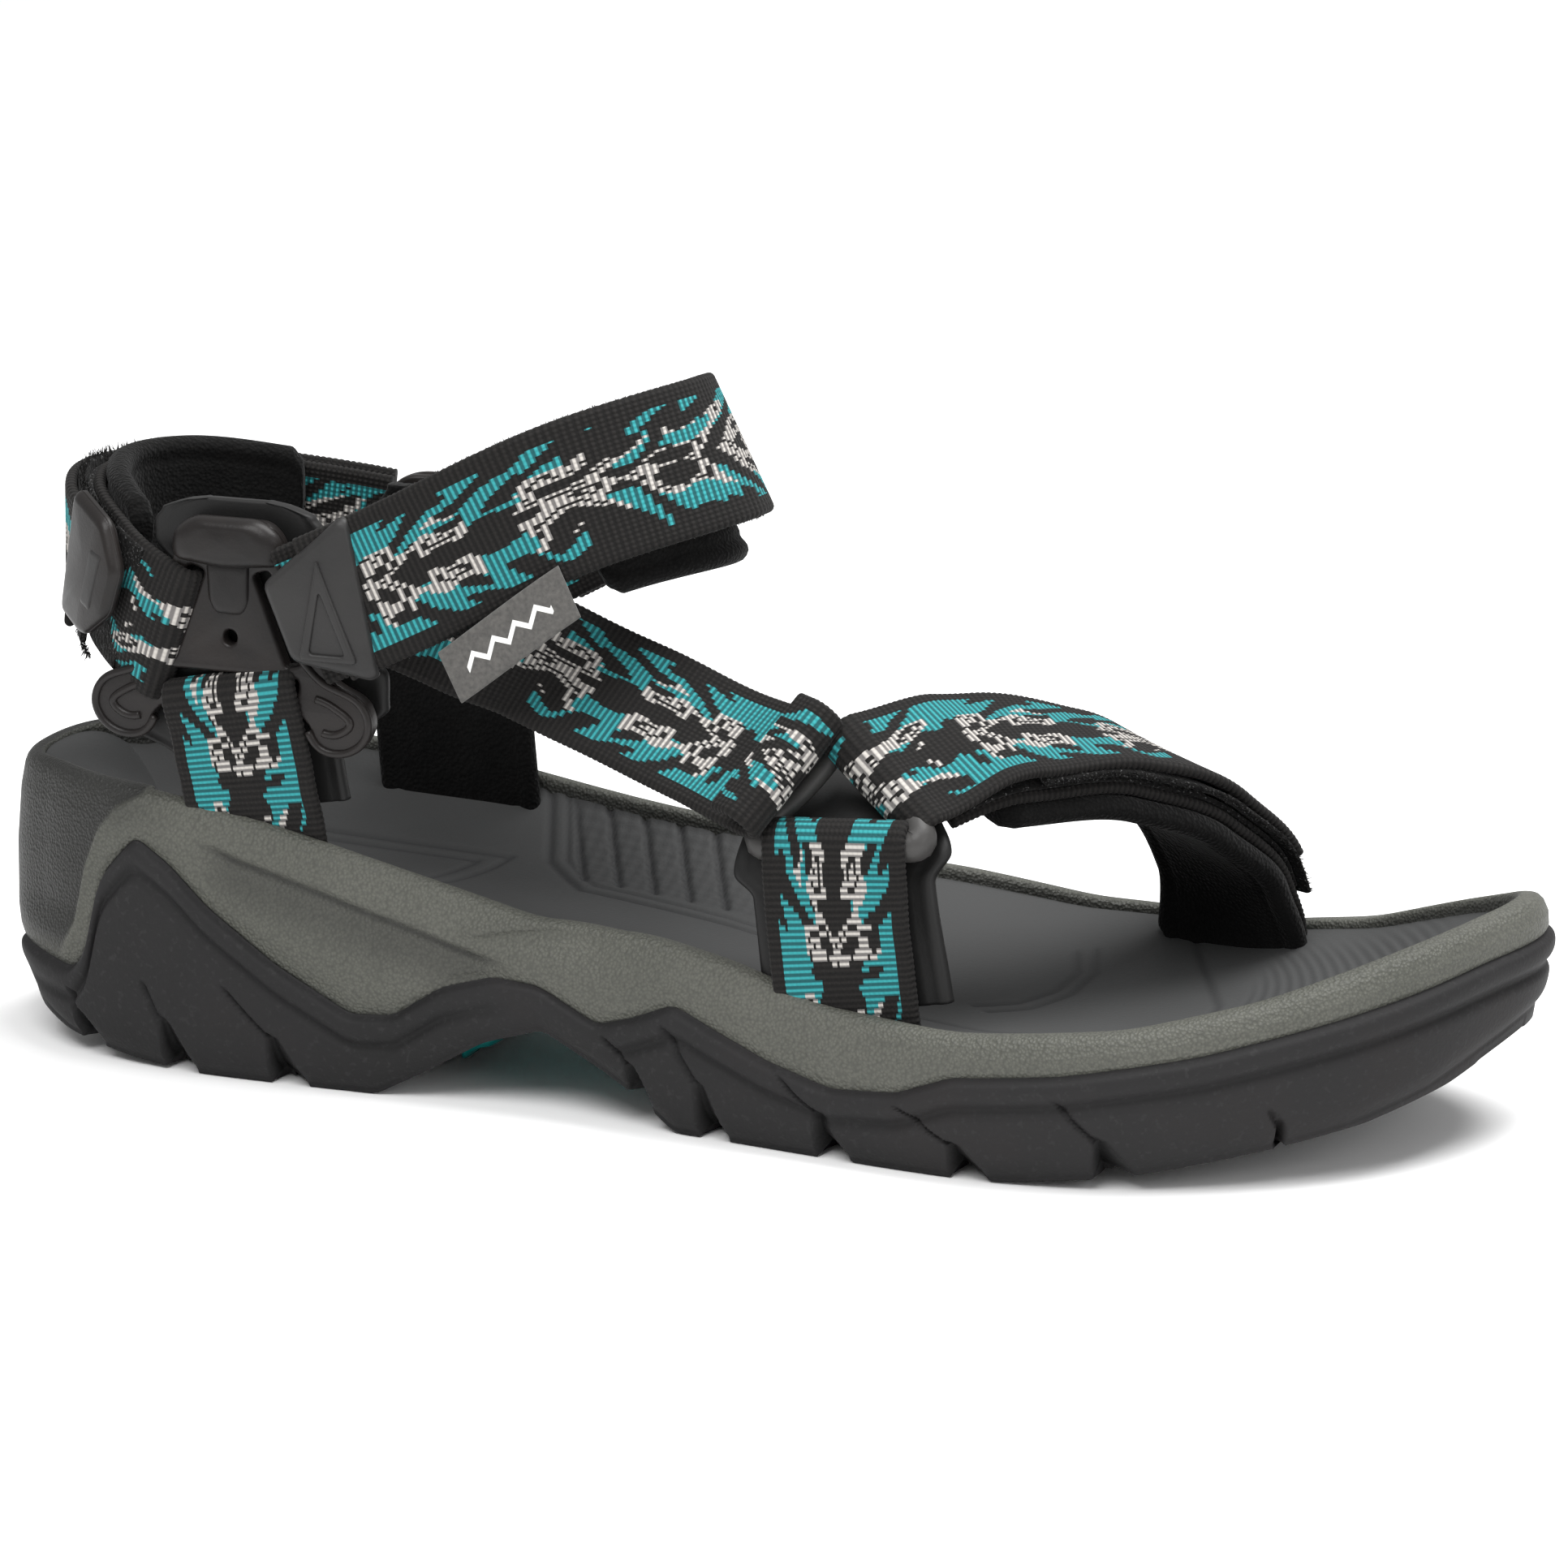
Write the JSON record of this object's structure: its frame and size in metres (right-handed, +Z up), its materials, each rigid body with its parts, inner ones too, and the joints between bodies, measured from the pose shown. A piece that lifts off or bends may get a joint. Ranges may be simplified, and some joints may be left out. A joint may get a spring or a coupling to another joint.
{
  "type": "strappy sport sandal",
  "caption": "Right-foot strappy sport sandal with a lugged rubber sole, contoured footbed, patterned webbing straps and peelable hook-and-loop flaps.",
  "frame": {"origin": "middle of the sole's plan box, on the ground under the tread", "axes": "+X from heel to toe, +Y to the inner (medial) side, +Z up"},
  "size_m": [0.2759, 0.0979, 0.1236],
  "materials": {
    "rubber_tread": "matte",
    "shank_plastic": "satin",
    "foam": "pebbled matte",
    "footbed_foam": "fine texture, matte",
    "closure_tape": "fuzzy",
    "padded_lining": "matte",
    "moulded_plastic": "satin",
    "label_cloth": "matte",
    "webbing": "ribbed weave in black, teal and off-white"
  },
  "bodies": {
    "root": {"outsole": "rubber_tread", "shank": "shank_plastic", "midsole": "foam", "footbed": "footbed_foam", "instep_strap": "webbing", "instep_loop_tape": "closure_tape", "instep_pad": "padded_lining", "instep_flap_root": "webbing", "diagonal_strap": "webbing", "heel_strap": "webbing", "heel_loop_tape": "closure_tape", "heel_pad": "padded_lining", "heel_flap_root": "webbing", "toe_strap": "webbing", "toe_loop_tape": "closure_tape", "toe_pad": "padded_lining", "heel_anchor_strap_lateral": "webbing", "heel_anchor_strap_medial": "webbing", "toe_anchor_strap": "webbing", "heel_link_backing_lateral": "padded_lining", "heel_link_backing_medial": "padded_lining", "toe_link_backing": "padded_lining", "heel_link_lateral": "moulded_plastic", "heel_link_medial": "moulded_plastic", "toe_link": "moulded_plastic"},
    "instep_flap_body": {"instep_flap": "webbing", "instep_flap_hook": "closure_tape", "instep_flap_tip": "moulded_plastic", "instep_label": "label_cloth"},
    "heel_flap_body": {"heel_flap": "webbing", "heel_flap_hook": "closure_tape", "heel_flap_tip": "moulded_plastic"},
    "toe_flap_body": {"toe_flap": "webbing", "toe_flap_hook": "closure_tape"}
  },
  "joints": [
    {"name": "instep_flap_peel", "type": "hinge", "parent": "root", "child": "instep_flap_body", "pos_m": [-0.00943, 0.01729, 0.10821], "axis": [-0.4389, -0.0121, 0.8984], "range_deg": [0, 105]},
    {"name": "heel_flap_peel", "type": "hinge", "parent": "root", "child": "heel_flap_body", "pos_m": [-0.1171, 0.02302, 0.08741], "axis": [-0.0631, -0.0654, -0.9959], "range_deg": [0, 95]},
    {"name": "toe_flap_peel", "type": "hinge", "parent": "root", "child": "toe_flap_body", "pos_m": [0.03378, -0.02467, 0.0648], "axis": [0.6781, -0.4535, -0.5784], "range_deg": [0, 95]}
  ]
}
